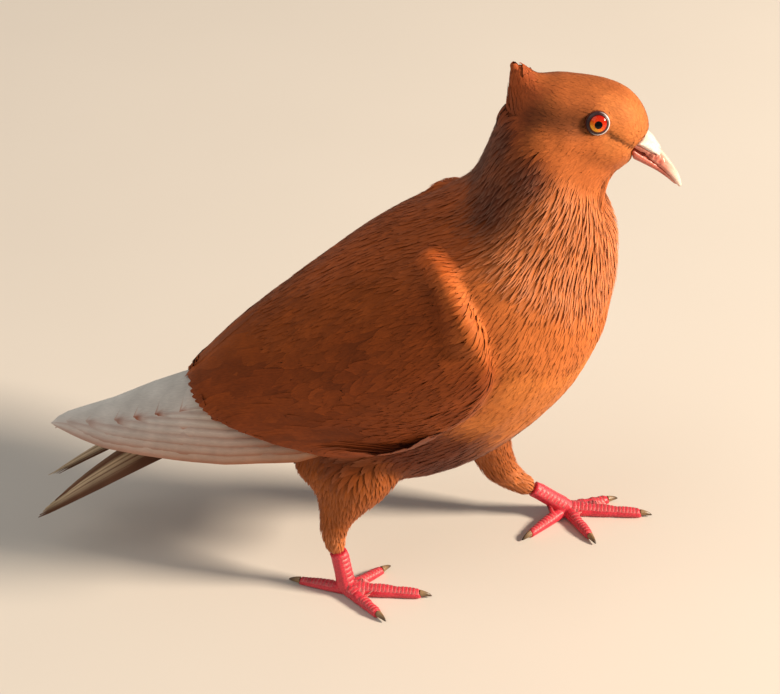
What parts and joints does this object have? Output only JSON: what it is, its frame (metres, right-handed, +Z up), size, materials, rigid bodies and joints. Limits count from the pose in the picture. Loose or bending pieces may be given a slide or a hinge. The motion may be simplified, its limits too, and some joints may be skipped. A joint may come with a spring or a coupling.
{
  "type": "standing pigeon",
  "caption": "Life-size red pigeon with a small peaked crest, caught in mid step: one foot under it, the other set down ahead, tail low, wings folded.",
  "frame": {"origin": "on the floor under the middle of the whole bird's bounding box", "axes": "+X towards the head, +Y towards the bird's left side, +Z up"},
  "size_m": [0.255, 0.1, 0.2296],
  "materials": {
    "plumage": "rust-red feathers, matt with a soft sheen",
    "pale_feathers": "cream-grey flight feathers with rust edges",
    "tail_feathers": "brown feathers with cream streaks",
    "bill": "flesh-pink horn, pale along the ridge",
    "cere": "white powdery skin",
    "eye": "wet orange-red iris with a black pupil",
    "foot_skin": "crimson scaled skin with paler scale edges",
    "claw": "horn brown, darker at the point"
  },
  "bodies": {
    "root": {"head": "plumage", "neck": "plumage", "trunk": "plumage", "crest": "plumage", "left_wing": "plumage", "right_wing": "plumage", "left_thigh": "plumage", "right_thigh": "plumage", "left_primaries": "pale_feathers", "right_primaries": "pale_feathers", "tail": "tail_feathers", "upper_bill": "bill", "lower_bill": "bill", "cere": "cere", "left_eye": "eye", "right_eye": "eye", "left_foot": "foot_skin", "right_foot": "foot_skin", "left_outer_claw": "claw", "left_middle_claw": "claw", "left_inner_claw": "claw", "left_hind_claw": "claw", "right_outer_claw": "claw", "right_middle_claw": "claw", "right_inner_claw": "claw", "right_hind_claw": "claw"}
  },
  "joints": []
}
